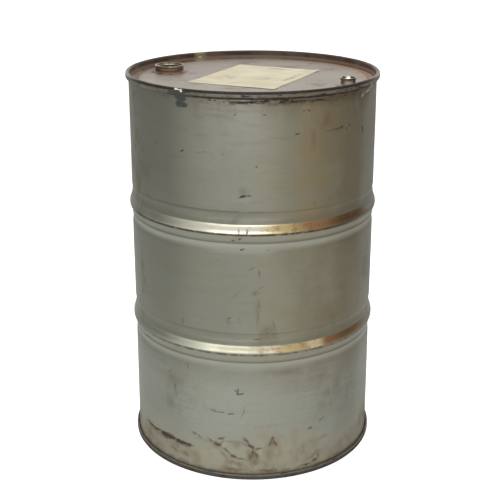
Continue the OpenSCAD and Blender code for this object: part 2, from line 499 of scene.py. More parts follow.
def rows(radius, low, high, pitch):
    """Points up or down a cylinder, seven to each turn of its thread."""
    steps = max(1, round(abs(high - low) / (pitch / 7)))
    return [(radius, low + (high - low) * i / steps) for i in range(steps + 1)]


def make_lug(x, y, z):
    deselect()
    bpy.ops.mesh.primitive_cube_add(size=1, location=(x, y, z))
    lug = named("lug")
    lug.scale = LUG
    bpy.ops.object.transform_apply(location=True, scale=True)
    edit(lug)
    pick()
    bpy.ops.mesh.bevel(offset=0.0007, segments=2, affect="EDGES")
    done()
    return lug


def make_plug(size):
    """A cup with a rolled rim, a male thread on its skirt and two lugs for the wrench."""
    own = CLOSURES[size]
    low, high = heights(size + "_plug")
    centre = middle(size + "_plug")[:2]
    rim_r = own.neck_r + own.rim_w
    skirt = own.thread_r - 0.00005
    under = high - RIM_H
    cup = skirt - 0.0022
    mouth = rim_r - 0.0033
    floor_z = low + 0.0022
    rings = [(0.0006, low), (skirt * 0.5, low), (skirt - 0.0016, low), (skirt - 0.0006, low + 0.0003)]
    rings += rows(skirt, low + 0.001, under - 0.0004, own.pitch)
    rings += [(skirt + 0.0004, under), (rim_r - 0.0008, under), (rim_r - 0.0001, under + 0.0006),
              (rim_r, under + 0.0014)]
    rings += arc(rim_r - 0.0012, high - 0.0012, 0.0012, 0, 90, 4)
    rings += [((rim_r + mouth) / 2, high - 0.0001)]
    rings += arc(mouth + 0.001, high - 0.001, 0.001, 90, 180, 3)
    rings += [(mouth, under + 0.0011), (mouth - 0.0005, under + 0.0004), (cup + 0.0004, under - 0.0012),
              (cup, under - 0.0024), (cup, low + 0.0042), (cup - 0.0006, low + 0.0028),
              (cup - 0.002, floor_z), (cup * 0.5, floor_z), (0.0006, floor_z)]
    shell = drawn_up("plug_shell", centre, rings)
    edit(shell)
    pick_open_edges()
    bpy.ops.mesh.edge_face_add()
    face_outwards()
    threaded(shell, centre, skirt, own.pitch, low + 0.002, under - 0.001)
    lugs = [make_lug(centre[0] + side * (cup - 0.0019), centre[1], low + 0.0053) for side in (-1, 1)]
    piece = joined(size + "_screw_plug", [shell] + lugs)
    smooth(piece, 38)
    return piece


def make_flange(size):
    """The steel ring with the female thread, held in the head's collar."""
    own = CLOSURES[size]
    low, high = heights(size + "_flange")
    centre = middle(size + "_flange")[:2]
    thread_r, neck_r = own.thread_r, own.neck_r
    corner = neck_r + own.boss_w - SHEET / math.cos(math.pi / 8)
    base, base_in = octagon(corner - 0.0003), octagon(corner - 0.0009)
    top = PANEL_Z + BOSS_H - SHEET - 0.0015
    rings = [(thread_r + 0.0006, low), (base_in, low), (base, low + 0.0005), (base, top - 0.0005),
             (base_in, top), (neck_r + 0.0004, top), (neck_r, top + 0.0004), (neck_r, high - 0.0005),
             (neck_r - 0.0004, high), (thread_r + 0.0007, high)]
    rings += rows(thread_r, high - 0.0006, low + 0.0006, own.pitch)
    piece = drawn_up(size + "_threaded_ring", centre, rings, closed=True)
    threaded(piece, centre, thread_r, own.pitch, low + 0.0004, high - 0.0004)
    smooth(piece, 38)
    return piece


def make_seal(size):
    """A rubber ring, pressed a little rounder at its edges than when it was cut."""
    node = size + "_plug_gasket"
    low, high = heights(node)
    outer = (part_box(node)[1][0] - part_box(node)[0][0]) / 2
    inner = CLOSURES[size].thread_r + GASKET_GAP
    e = (high - low) * 0.3
    rings = [(inner + e, low), (outer - e, low), (outer, low + e), (outer, high - e),
             (outer - e, high), (inner + e, high), (inner, high - e), (inner, low + e)]
    piece = drawn_up(size + "_plug_seal", middle(node)[:2], rings, closed=True)
    smooth(piece, 50)
    return piece


# ---------------------------------------------------------------- the paper label

def make_label():
    """A sheet of paper, stuck down, with worn edges and one corner a little lifted."""
    centre = middle("paper_label")
    deselect()
    bpy.ops.mesh.primitive_grid_add(x_subdivisions=81, y_subdivisions=64, size=1, location=(0, 0, 0))
    piece = named("label_sheet")
    p = points_of(piece)
    x, y = p[:, 0] * LABEL_L, p[:, 1] * LABEL_W
    fray = waves(x * 60, y * 60, 2.0) + 0.6 * waves(x * 190, y * 190, 9.0)
    pull = 0.0009 + 0.0011 * fray
    x -= np.sign(x) * np.where(np.abs(p[:, 0]) > 0.4999, pull, 0)
    y -= np.sign(y) * np.where(np.abs(p[:, 1]) > 0.4999, pull, 0)
    ripple = waves(x * 34, y * 22, 5.0)
    corner = np.hypot(x - LABEL_L / 2, y + LABEL_W / 2)
    lift = 0.00035 + 0.0005 * np.maximum(ripple, 0) + 0.0035 * ramp(corner, 0.028, -0.028) ** 2
    c, s = math.cos(math.radians(LABEL_TURN)), math.sin(math.radians(LABEL_TURN))
    p[:, 0] = centre[0] + x * c - y * s
    p[:, 1] = centre[1] + x * s + y * c
    p[:, 2] = PANEL_Z + lift
    put_points(piece, p)
    thicken(piece, LABEL_T)
    smooth(piece, 60)
    return piece


# ---------------------------------------------------------------- finishes

def tone(r, g, b):
    """A colour given as it looks on a screen, 0 to 255."""
    parts = [v / 255 for v in (r, g, b)]
    return tuple(v / 12.92 if v <= 0.04045 else ((v + 0.055) / 1.055) ** 2.4 for v in parts) + (1,)


class Mix:
    """A tree of nodes, with short names for those that a finish is made of."""

    def __init__(self, tree):
        self.tree = tree

    def node(self, kind, **settings):
        node = self.tree.nodes.new(kind)
        for key, value in settings.items():
            setattr(node, key, value)
        return node

    def join(self, value, socket):
        """Feeds a socket with what another node gives, or with a fixed value."""
        if isinstance(value, bpy.types.NodeSocket):
            self.tree.links.new(value, socket)
        else:
            socket.default_value = value

    def math(self, operation, *values):
        node = self.node("ShaderNodeMath", operation=operation)
        for value, socket in zip(values, node.inputs):
            self.join(value, socket)
        return node.outputs[0]

    def most(self, *values):
        total = values[0]
        for value in values[1:]:
            total = self.math("MAXIMUM", total, value)
        return total

    def times(self, *values):
        total = values[0]
        for value in values[1:]:
            total = self.math("MULTIPLY", total, value)
        return total

    def uneven(self, value, noise_, width):
        """The value, moved up and down by as much as half the width, as the noise goes."""
        return self.math("ADD", value, self.times(self.math("SUBTRACT", noise_, 0.5), width))

    def mix(self, factor, a, b):
        node = self.node("ShaderNodeMix", data_type="RGBA")
        for value, socket in zip((factor, a, b), (node.inputs[0], node.inputs[6], node.inputs[7])):
            self.join(value, socket)
        return node.outputs[2]

    def two_tone(self, value, low, high, first, second):
        """Goes from one screen colour to another as the value goes from low to high."""
        return self.mix(self.fade(value, low, high), tone(*first), tone(*second))

    def coat(self, under, paint, mask, amount=1):
        """Lays a screen colour over what is under it, as far as the mask and the amount say."""
        if amount != 1:
            mask = self.times(mask, amount)
        return self.mix(mask, under, tone(*paint))

    def fade(self, value, low, high, a=0.0, b=1.0):
        """Goes smoothly from a to b as the value goes from low to high."""
        node = self.node("ShaderNodeMapRange", interpolation_type="SMOOTHSTEP")
        if low > high:
            low, high, a, b = high, low, b, a
        for setting, socket in zip((value, low, high, a, b), node.inputs):
            self.join(setting, socket)
        return node.outputs[0]

    def band(self, value, centre, half, soft):
        """1 within half of the centre, and 0 beyond a soft edge."""
        off = self.math("ABSOLUTE", self.math("SUBTRACT", value, centre))
        return self.fade(off, half + soft, half)


class Finish(Mix):
    """A material being mixed, which starts from the place on the piece."""

    def __init__(self, name):
        self.material = bpy.data.materials.new(name)
        self.material.use_nodes = True
        super().__init__(self.material.node_tree)
        self.shader = self.tree.nodes["Principled BSDF"]
        self.place = self.node("ShaderNodeTexCoord").outputs["Object"]
        self.x, self.y, self.z = self.parts(self.place)

    def parts(self, place):
        """The three coordinates of a place."""
        split = self.node("ShaderNodeSeparateXYZ")
        self.join(place, split.inputs[0])
        return split.outputs

    def spread(self, stretch, scale, detail=4.0, rough=0.55, where=None, shift=(0, 0, 0)):
        """Noise, stretched along the axes."""
        moved = self.node("ShaderNodeMapping")
        self.join(self.place if where is None else where, moved.inputs["Vector"])
        moved.inputs["Scale"].default_value = stretch
        moved.inputs["Location"].default_value = shift
        node = self.node("ShaderNodeTexNoise")
        self.join(moved.outputs[0], node.inputs["Vector"])
        node.inputs["Scale"].default_value = scale
        node.inputs["Detail"].default_value = detail
        node.inputs["Roughness"].default_value = rough
        return node.outputs["Fac"]

    def centred(self, where, centre, turn=0.0, size=(1, 1)):
        """A place as it is seen from a centre, in a turned and scaled frame."""
        own = self.node("ShaderNodeMapping", vector_type="TEXTURE")
        self.join(where, own.inputs["Vector"])
        own.inputs["Location"].default_value = (centre[0], centre[1], 0)
        own.inputs["Rotation"].default_value = (0, 0, math.radians(turn))
        own.inputs["Scale"].default_value = (size[0], size[1], 1)
        return own.outputs[0]

    def spot(self, where, centre, half, turn=0.0, inner=0.35):
        """An oval mark on a flat or unrolled place: 1 inside, and 0 outside."""
        own = self.centred(where, centre, turn, half)
        size = self.node("ShaderNodeVectorMath", operation="LENGTH")
        self.join(own, size.inputs[0])
        return self.fade(size.outputs["Value"], 1.0, inner)

    def blot(self, unrolled):
        """The spilt dark paint by the top chime, in overlapping lobes."""
        lobes = [((-0.1570, 0.8870), (0.0190, 0.0110)), ((-0.1580, 0.8750), (0.0185, 0.0100)),
                 ((-0.1610, 0.8620), (0.0130, 0.0095)), ((-0.1500, 0.8605), (0.0120, 0.0085)),
                 ((-0.1790, 0.8860), (0.0110, 0.0032)), ((-0.1370, 0.8820), (0.0110, 0.0035))]
        return self.most(*[self.spot(unrolled, c, h, 0, 0.62) for c, h in lobes])

    def marks(self, where, table, inner=0.35):
        """All the marks of a table. Each run of ten waits for the one before, which keeps few
        values in use at once."""
        run = 10
        total = 0.0
        for i, (angle, height, half_l, half_w, tilt, strength) in enumerate(table):
            if i and i % run == 0:
                after = self.node("ShaderNodeVectorMath", operation="MULTIPLY_ADD")
                self.join(total, after.inputs[0])
                after.inputs[1].default_value = (1e-9, 1e-9, 0)
                self.join(where, after.inputs[2])
                where = after.outputs[0]
            centre = (math.radians(angle) * WALL_R, height / 1000)
            mark = self.spot(where, centre, (half_l / 1000, half_w / 1000), tilt, inner)
            total = self.math("MAXIMUM", total, self.times(mark, strength))
        return total

    def flat(self, x, y, wobble=0.0, scale=60, detail=3):
        """A place on an unrolled surface, with its marks' edges made uneven."""
        both = self.node("ShaderNodeCombineXYZ")
        self.join(x, both.inputs[0])
        self.join(y, both.inputs[1])
        if not wobble:
            return both.outputs[0]
        cloud = self.node("ShaderNodeTexNoise")
        self.join(self.place, cloud.inputs["Vector"])
        cloud.inputs["Scale"].default_value = scale
        cloud.inputs["Detail"].default_value = detail
        moved = self.node("ShaderNodeVectorMath", operation="MULTIPLY_ADD")
        self.join(cloud.outputs["Color"], moved.inputs[0])
        moved.inputs[1].default_value = (wobble, wobble, 0)
        self.join(both.outputs[0], moved.inputs[2])
        back = self.node("ShaderNodeVectorMath", operation="SUBTRACT")
        self.join(moved.outputs[0], back.inputs[0])
        back.inputs[1].default_value = (wobble / 2, wobble / 2, 0)
        return back.outputs[0]

    def bump(self, height, distance, strength=1.0, over=None):
        node = self.node("ShaderNodeBump")
        self.join(strength, node.inputs["Strength"])
        node.inputs["Distance"].default_value = distance
        self.join(height, node.inputs["Height"])
        if over is not None:
            self.join(over, node.inputs["Normal"])
        return node.outputs[0]

    def finish(self, **sockets):
        for name, value in sockets.items():
            self.join(value, self.shader.inputs[name.replace("_", " ")])
        return self.material


def around(f):
    """The direction of a place in radians: 0 is the front, and the small plug's side is positive."""
    return f.math("ARCTAN2", f.x, f.math("MULTIPLY", f.y, -1.0))


def from_axis(f):
    """How far a place is from the drum's axis."""
    return f.math("SQRT", f.math("ADD", f.times(f.x, f.x), f.times(f.y, f.y)))


# Marks on the wall: direction in degrees, height, half length and half width in mm, tilt in
# degrees, and how strongly it shows.
SCRAPES = [
    (-31.8, 762.5, 7, 2.2, 20, 0.9), (-23.0, 763.2, 46, 0.9, 0, 0.45), (-12.8, 761.8, 6, 1.5, 25, 0.5),
    (1.7, 737.0, 5, 3.0, 30, 0.9), (-60.6, 766.9, 4, 3.0, 0, 0.6), (-47.2, 769.9, 4, 3.0, 0, 0.6),
    (-4.2, 672.5, 13, 3.6, 22, 0.95), (-2.0, 674.5, 12, 3.0, -8, 0.6), (4.9, 846.8, 5, 2.0, 0, 0.8),
    (-7.5, 848.0, 5, 2.0, 25, 0.6), (21.9, 851.1, 4, 1.9, -10, 0.8), (24.0, 850.0, 6, 2.2, -20, 0.8),
    (19.1, 804.6, 9, 2.4, 0, 0.9), (37.0, 803.0, 36, 1.7, 1, 0.75), (40.8, 805.5, 14, 3.0, 5, 0.95),
    (46.6, 807.0, 7, 2.6, 15, 0.9), (44.8, 800.5, 5, 2.2, -40, 0.8), (57.5, 788.0, 4, 9.0, 20, 0.9),
    (-5.0, 552.8, 5, 3.4, 20, 1.0), (-4.0, 555.5, 3.4, 2.6, 0, 1.0), (-5.4, 579.5, 6, 3.0, 20, 0.9),
    (-8.2, 574.7, 5, 2.4, 10, 0.8), (-5.8, 597.0, 3, 7.0, 10, 0.6), (-2.2, 595.0, 3, 8.0, -5, 0.7),
    (-0.7, 511.5, 14, 1.6, 24, 0.6), (2.9, 501.0, 3, 9.0, 8, 0.45), (7.0, 552.0, 4, 1.8, 0, 0.6),
    (-7.0, 452.0, 26, 1.5, 45, 0.3), (0.9, 457.0, 12, 1.6, 38, 0.4), (0.6, 455.0, 10, 1.6, -38, 0.35),
    (4.2, 470.0, 10, 1.4, 30, 0.5), (-5.6, 392.0, 12, 1.6, -75, 0.3), (-33.7, 372.9, 3, 12.0, 0, 0.35),
    (-10.2, 394.9, 8, 2.4, 25, 0.6), (-11.0, 384.0, 3, 9.0, 10, 0.35), (2.4, 346.6, 16, 1.2, 2, 0.8),
    (-6.5, 345.5, 24, 0.8, 0, 0.45), (3.0, 430.0, 2.4, 22.0, 8, 0.25), (2.2, 395.0, 2.4, 26.0, -6, 0.25),
    (6.0, 372.0, 9, 1.6, 30, 0.4), (9.5, 380.0, 2.4, 16.0, 20, 0.35), (11.0, 358.0, 10, 2.0, 15, 0.35),
    (-7.2, 218.5, 11, 2.2, -40, 0.85), (-5.6, 214.0, 12, 3.4, 6, 0.9), (-6.6, 222.0, 3, 8.0, 10, 0.6),
    (-15.5, 165.5, 20, 1.6, -3, 0.8), (-9.6, 163.0, 12, 2.4, 12, 0.8), (-18.2, 168.5, 9, 1.6, 10, 0.7),
    (-38.0, 184.0, 3, 9.0, 0, 0.5), (-30.6, 264.4, 3, 12.0, 15, 0.4), (-42.2, 238.0, 14, 1.6, 35, 0.4),
    (-40.0, 222.0, 16, 1.4, -30, 0.45), (-38.6, 203.0, 3, 10.0, 0, 0.45), (-4.0, 168.0, 2.0, 24.0, -18, 0.35),
    (33.7, 128.5, 13, 2.8, 14, 0.4), (33.0, 123.0, 7, 1.6, 30, 0.3),
    (103, 705.0, 22, 1.4, 8, 0.7), (131, 240.0, 30, 1.8, -12, 0.7), (-95, 480.0, 18, 2.0, 30, 0.7),
    (-128, 690.0, 40, 1.2, 2, 0.6), (168, 470.0, 14, 2.6, -35, 0.8), (-152, 210.0, 9, 4.0, 20, 0.8),
    (75, 400.0, 5, 14.0, 12, 0.5), (92, 118.0, 26, 4.0, 5, 0.8), (-170, 830.0, 16, 2.4, 10, 0.7),
]


# Strokes of dirt low on the front, where the wall has been knocked: from and to, in mm round the
# wall from the front and up from the floor, half width in mm and strength.
GOUGE = [
    ((-324, 64), (-236, 67), 3.4, 0.9), ((-252, 67), (-186, 63), 5.6, 1.0),
    ((-204, 64), (-138, 63), 4.0, 0.95), ((-225, 72), (-190, 68), 3.0, 0.7),
    ((-172, 60), (-146, 60), 3.0, 0.7),
]
STROKES = [
    ((-146, 103), (-128, 95), 3.4, 0.75), ((-130, 97), (-116, 90), 3.0, 0.6),
    ((-108, 93), (-88, 88), 3.4, 0.7),
    ((-92, 89), (-68, 81), 6.0, 1.0), ((-82, 97), (-60, 103), 3.2, 0.9), ((-74, 84), (-64, 96), 3.4, 0.55),
    ((-70, 79), (-50, 57), 3.6, 0.75), ((-54, 58), (-32, 48), 4.6, 1.0), ((-38, 49), (-14, 48), 3.4, 0.75),
    ((-22, 104), (-12, 100), 2.4, 0.7), ((-20, 101), (-6, 88), 3.6, 0.95), ((-10, 91), (5, 74), 6.0, 1.0),
    ((2, 78), (2, 54), 5.0, 0.95), ((4, 74), (14, 48), 6.0, 0.85), ((4, 75), (24, 79), 2.8, 0.8),
    ((-1, 62), (-7, 47), 4.4, 0.6), ((46, 105), (46, 98), 5.4, 1.0), ((45, 98), (38, 79), 2.8, 0.7),
    ((48, 98), (56, 80), 3.6, 0.85), ((112, 21), (144, 23), 3.4, 0.9), ((140, 21), (162, 31), 3.8, 0.95),
    ((159, 42), (161, 30), 2.8, 0.6), ((132, 111), (143, 112), 2.8, 0.8), ((153, 78), (190, 81), 3.0, 0.4),
    ((-66, 24), (-18, 20), 3.4, 0.5), ((0, 22), (64, 19), 3.4, 0.6), ((-176, 40), (-150, 36), 6.0, 0.45),
    ((-212, 44), (-186, 38), 5.0, 0.45), ((-45, 84), (-25, 88), 10.0, 0.35), ((-60, 92), (-30, 92), 5.0, 0.3),
]

# Painted shade and painted highlight on the dark and the bright side of the dent under the chime, and the
# creases between the strokes
DENT_SHADE = [
    ((240, 880), (286, 878), 3.4, 1.0), ((252, 876), (286, 873), 3.8, 1.0),
    ((264, 871), (286, 868), 3.4, 1.0), ((275, 867), (284, 860), 3.0, 1.0),
]
DENT_SHINE = [
    ((282, 858), (298, 867), 2.4, 0.9), ((296, 866), (326, 874), 3.4, 1.0),
    ((320, 873), (346, 879), 3.8, 0.9),
]
CREASES = [
    ((-64, 95), (-66, 66), 3.2, 0.8), ((-14, 100), (-4, 70), 3.2, 0.7), ((-60, 66), (-36, 56), 2.6, 0.5),
]


def drawn(strokes):
    """The strokes in the terms of the other marks."""
    marks = []
    for (s0, z0), (s1, z1), half_w, strength in strokes:
        marks.append((math.degrees((s0 + s1) / 2000 / WALL_R), (z0 + z1) / 2,
                      math.hypot(s1 - s0, z1 - z0) / 2 + half_w, half_w * 1.45,
                      math.degrees(math.atan2(z1 - z0, s1 - s0)), strength))
    return marks


# Soft brown dirt round the worst marks, in the terms of the scrapes
SMUDGES = [
    (-52, 58, 66, 9, -2, 0.75), (-38, 55, 60, 13, -4, 0.7), (-33, 42, 44, 12, 10, 0.5),
    (-60, 40, 30, 12, -10, 0.5), (-25, 88, 44, 9, -6, 0.7), (-17, 78, 20, 10, -40, 0.8),
    (-13, 57, 24, 7, -42, 0.8), (-8, 38, 30, 9, -12, 0.75), (-1, 60, 13, 26, 14, 0.95),
    (1.2, 46, 15, 18, 0, 0.8), (-3, 86, 18, 6, -30, 0.7), (9, 92, 8, 16, 0, 0.7),
    (29, 38, 40, 9, 26, 0.8), (38, 52, 40, 12, 20, 0.45), (-10, 24, 70, 8, 0, 0.6),
    (7, 366, 30, 26, 0, 0.6), (2.4, 412, 10, 60, 0, 0.7), (1, 456, 18, 12, 0, 0.65),
    (-4, 683, 15, 17, 0, 0.75), (-6, 582, 18, 14, 0, 0.5), (-11, 388, 12, 20, 0, 0.4),
    (-33, 374, 6, 20, 0, 0.35), (-41, 216, 32, 34, 0, 0.22), (-46, 258, 28, 20, 0, 0.22),
    (18, 262, 100, 13, -5, 0.65), (30, 236, 60, 12, 0, 0.4), (-55, 690, 50, 40, 0, 0.5),
    (-25, 790, 60, 26, 0, 0.35), (6, 690, 50, 24, 0, 0.35), (-12, 842, 60, 8, -3, 0.4),
    (10, 668, 30, 8, 0, 0.5), (110, 90, 70, 24, 6, 0.7), (-150, 60, 90, 26, -4, 0.7),
    (160, 640, 60, 40, 10, 0.5), (-120, 330, 50, 60, 0, 0.5), (-100, 860, 90, 16, 0, 0.6),
]


# The direction of the wall's welded side seam, in degrees
WELD_AT = 146.0

# The least roughness of bare metal
LEAST_ROUGH = 0.30


class WallFinish(Finish):
    """The wall's finish, with the places and the noises that its layers share."""

    def __init__(self, name):
        super().__init__(name)
        self.turn = around(self)
        self.degrees = self.math("DEGREES", self.turn)
        self.behind = self.fade(self.math("ABSOLUTE", self.degrees), 62, 95)
        self.unrolled = self.flat(self.times(self.turn, WALL_R), self.z, wobble=0.010)
        self.cloud = self.spread((1, 1, 0.8), 3.2, 5, 0.6)
        self.streak = self.spread((1, 1, 0.07), 20, 4, 0.6)
        self.rub = self.spread((0.3, 0.3, 2.0), 13, 6, 0.66, shift=(2, 6, 4))
        self.fine = self.spread((1, 1, 1), 160, 3, 0.6)
        self.patch = self.spread((1, 1, 0.7), 11, 7, 0.66, shift=(3, 1, 7))
        self.chip = self.spread((1, 1, 1.5), 62, 5, 0.75, shift=(1, 8, 2))


def old_paint(f):
    """Grey-green paint, rubbed and scuffed, and paler low down."""
    z = f.z
    colour = f.two_tone(f.cloud, 0.36, 0.64, (132, 133, 119), (143, 145, 131))
    colour = f.coat(colour, (126, 124, 108), f.fade(f.rub, 0.46, 0.66), 0.34)
    colour = f.coat(colour, (120, 120, 106), f.fade(f.streak, 0.50, 0.75), 0.14)
    colour = f.coat(colour, (159, 162, 151), f.fade(z, 0.30, 0.20), 0.9)
    colour = f.coat(colour, (110, 110, 96), f.fade(z, 0.34, 0.66, 0.06, 0.34))
    scuff = f.times(f.fade(f.spread((0.25, 0.25, 2.6), 30, 5, 0.7, shift=(9, 2, 3)), 0.50, 0.68),
                    f.fade(z, 0.5, 0.7, 0.18, 0.34))
    colour = f.coat(colour, (106, 98, 76), scuff)
    return f.coat(colour, (90, 88, 74), f.fade(f.fine, 0.52, 0.7), 0.10)


def brown_film(f, colour):
    """Brown film down the small plug's side, partly a real film and partly painted shade that darkens that
    side, a darker band in it that is painted shade, and fainter patches behind.
    """
    z, degrees, rub, patch = f.z, f.degrees, f.rub, f.patch
    side = f.most(f.band(degrees, 50, 12, 34), f.times(f.band(degrees, 150, 14, 30), 0.7),
                  f.times(f.band(degrees, -118, 10, 26), 0.6))
    ragged_edge = f.uneven(degrees, patch, 26)
    side = f.times(side, f.fade(ragged_edge, 55.5, 66, 1.0, 0.4))
    # the film: a real brown film, made darker on the small plug's side as painted shade
    film = f.times(side, f.fade(f.math("ADD", f.times(patch, 0.6), f.times(rub, 0.4)), 0.30, 0.62),
                   f.fade(z, 0.05, 0.50, 0.15, 1.0))
    colour = f.coat(colour, (98, 82, 56), film, 0.80)
    # painted shade: a dark brown band down the small plug's side
    right_side_shade = f.times(f.band(degrees, 52, 5.5, 9), f.fade(ragged_edge, 56, 62, 1.0, 0.0),
                    f.fade(rub, 0.3, 0.6, 0.7, 1.0), f.fade(z, 0.48, 0.64, 0.3, 1.0), f.fade(z, 0.875, 0.84))
    colour = f.coat(colour, (74, 61, 43), right_side_shade, 0.62)
    run = f.times(f.band(degrees, 26, 1.5, 9), f.fade(z, 0.56, 0.64), f.fade(rub, 0.30, 0.62, 0.3, 1.0))
    colour = f.coat(colour, (138, 108, 58), run, 0.36)
    warm = f.times(f.band(degrees, 34, 24, 18), f.fade(rub, 0.3, 0.6, 0.5, 1.0),
                   f.fade(z, 0.12, 0.34, 0.15, 1.0))
    colour = f.coat(colour, (146, 136, 106), warm, 0.35)
    stain = f.most(f.spot(f.unrolled, (0.1365, 0.658), (0.012, 0.020), 0, 0.1),
                   f.spot(f.unrolled, (0.131, 0.80), (0.010, 0.05), 0, 0.1),
                   f.spot(f.unrolled, (0.155, 0.830), (0.03, 0.03), 0, 0.1))
    colour = f.coat(colour, (112, 82, 44), f.times(stain, f.fade(patch, 0.36, 0.56)), 0.65)
    return colour, film


def side_shade_and_dirt(f, colour):
    """Painted shade down the large plug's side, and thin dirt in patches, heavier low down."""
    z, patch = f.z, f.patch
    # painted shade: a darker grey band down the large plug's side, stronger higher up
    left_side_shade = f.times(f.band(f.degrees, -51, 9, 20), f.fade(f.cloud, 0.2, 0.7, 0.7, 1.0),
                   f.fade(z, 0.2, 0.55, 0.5, 1.0))
    colour = f.coat(colour, (82, 82, 72), f.times(left_side_shade, f.fade(z, 0.6, 0.72, 0.42, 0.58)))
    dirt = f.times(f.fade(patch, 0.50, 0.70), f.fade(f.cloud, 0.38, 0.58))
    colour = f.coat(colour, (112, 102, 78), dirt, 0.45)
    splash = f.uneven(z, patch, -0.20)
    colour = f.coat(colour, (163, 157, 136), f.fade(splash, 0.135, 0.060, 0, 0.68))
    low = f.times(f.fade(splash, 0.090, 0.020), f.fade(patch, 0.46, 0.64))
    colour = f.coat(colour, (118, 100, 72), low, 0.45)
    colour = f.coat(colour, (84, 68, 48), f.fade(f.uneven(z, f.chip, -0.040), 0.022, 0.014, 0, 0.5))
    smudge = f.times(f.marks(f.unrolled, SMUDGES, inner=0.0), f.fade(patch, 0.34, 0.58))
    return f.coat(colour, (106, 92, 64), smudge, 0.8), dirt, splash, smudge


def under_chime(f, colour, below):
    """Grime and drips under the top chime, and where the paint has flaked along it."""
    degrees = f.degrees
    under = f.uneven(below, f.patch, -0.05)
    worst = f.math("ADD", 0.2, f.times(f.band(degrees, 40, 24, 26), 0.8))
    colour = f.coat(colour, (84, 68, 46), f.times(f.fade(under, 0.046, 0.014), worst), 0.8)
    drip = f.times(f.fade(below, 0.085, 0.02), f.fade(f.streak, 0.42, 0.62), f.band(degrees, 25, 40, 30))
    colour = f.coat(colour, (96, 80, 56), drip, 0.35)
    long_chip = f.spread((0.55, 0.55, 2.2), 75, 5, 0.7, shift=(4, 1, 2))
    worst_chips = f.band(degrees, 16, 30, 14)
    flaked = f.most(
        f.times(f.fade(below, 0.0182, 0.0160), f.fade(long_chip, 0.34, 0.42),
                f.fade(degrees, -52, -24, 0.25, 1.0)),
        f.times(f.fade(below, 0.034, 0.018), f.fade(long_chip, 0.52, 0.55), worst_chips),
        f.times(f.band(below, 0.0228, 0.0014, 0.0022), f.fade(long_chip, 0.46, 0.50),
                f.band(degrees, 12, 17, 6)),
        f.times(f.fade(below, 0.030, 0.017), f.fade(long_chip, 0.60, 0.64)))
    return colour, flaked


def hoop_dirt_and_shade(f):
    """Dirt on the crests of both hoops, painted shade along their grooves' edges, and a scratch over one."""
    z, degrees, chip = f.z, f.degrees, f.chip
    lower, upper = HOOPS
    ragged = f.fade(chip, 0.36, 0.50)
    crest_dirt = f.most(
        f.times(f.most(f.band(z, upper - 0.0020, 0.0013, 0.0018), f.band(z, lower - 0.0018, 0.0010, 0.0016)),
                f.behind, ragged),
        f.times(f.band(z, upper - 0.0020, 0.0015, 0.0018), ragged, f.band(degrees, -10, 50, 20)),
        f.times(f.spot(f.unrolled, (-0.262, 0.588), (0.013, 0.007), 0, 0.3), f.fade(chip, 0.42, 0.56), 0.8),
        f.times(f.band(z, lower - 0.0018, 0.0008, 0.0014), f.fade(chip, 0.46, 0.56),
                f.band(degrees, 5, 50, 20)))
    # painted shade: dark bands where the wall dips into each upper groove and under each crest
    groove_shade_parts = []
    for hoop in HOOPS:
        for offset, amount in ((0.046, 0.26), (-0.0225, 0.12)):
            groove_shade_parts.append(f.times(f.band(z, hoop + offset, 0.0006, 0.003), amount))
    groove_shade = f.times(f.most(*groove_shade_parts), f.fade(f.rub, 0.3, 0.6, 0.5, 1.0))
    scratch = f.times(f.band(z, upper + 0.0476, 0.0006, 0.0016), f.band(degrees, -28, 30, 6),
                      f.fade(f.streak, 0.3, 0.45))
    return crest_dirt, groove_shade, scratch


def knocks_in_front(f):
    """The torn strokes low on the front, the creases between them, and the scrapes."""
    fine = f.fine
    torn = f.flat(f.times(f.turn, WALL_R), f.z, wobble=0.014, scale=70, detail=6)
    gouge = f.times(f.marks(torn, drawn(GOUGE), inner=0.5), f.fade(fine, 0.24, 0.44, 0.4, 1.0))
    stroke = f.times(f.marks(torn, drawn(STROKES), inner=0.15), f.fade(fine, 0.26, 0.50, 0.45, 1.0))
    crease = f.marks(torn, drawn(CREASES), inner=0.1)
    scrapes = f.times(f.marks(f.unrolled, SCRAPES), f.fade(fine, 0.28, 0.50))
    return gouge, stroke, crease, scrapes


def bare_hoops(f):
    """Where the hoops' upper slopes are rubbed to the metal, and the metal's colour round the drum, painted
    reflection of the studio: bright in front and dimmer to the left, with a dimmer band in front and a
    painted glint at 29 degrees on the lower hoop; then golden, copper and brown, a few degrees later on the
    lower hoop."""
    z, degrees, rub = f.z, f.degrees, f.rub
    lower, upper = HOOPS
    bare = f.most(f.band(z, upper + 0.0095, 0.0085, 0.0022), f.band(z, lower + 0.0098, 0.0068, 0.0022))
    bare = f.times(bare, f.fade(f.patch, 0.28, 0.44, 0.86, 1.0),
                   f.most(f.band(degrees, 4, 46, 24), f.times(f.behind, f.fade(rub, 0.34, 0.52, 0.45, 1.0))))
    on_low = f.fade(z, 0.48, 0.42)
    past = f.math("SUBTRACT", degrees, f.times(on_low, 5.0))
    # painted reflection: the bare metal dims to the left of the front
    metal = f.two_tone(degrees, -50, -20, (150, 152, 138), (232, 230, 210))
    # painted reflection: a dimmer band in front on the lower hoop
    metal = f.coat(metal, (168, 163, 143), f.times(on_low, f.band(degrees, 0, 12, 10)), 0.8)
    metal = f.coat(metal, (214, 190, 140), f.fade(past, 0, 13))
    metal = f.coat(metal, (166, 125, 86), f.fade(past, 14, 27))
    # painted glint on the lower hoop
    metal = f.coat(metal, (250, 228, 186), f.times(on_low, f.band(degrees, 29, 1.5, 5)), 0.8)
    metal = f.coat(metal, (112, 88, 63), f.fade(past, 28, 46))
    metal = f.mix(f.fade(f.math("ABSOLUTE", degrees), 60, 100), metal,
                  f.two_tone(f.cloud, 0.4, 0.6, (206, 202, 182), (186, 158, 118)))
    metal = f.coat(metal, (172, 136, 92), f.times(f.fade(rub, 0.45, 0.7), f.fade(degrees, -10, 15, 0.1, 0.5)))
    return bare, metal


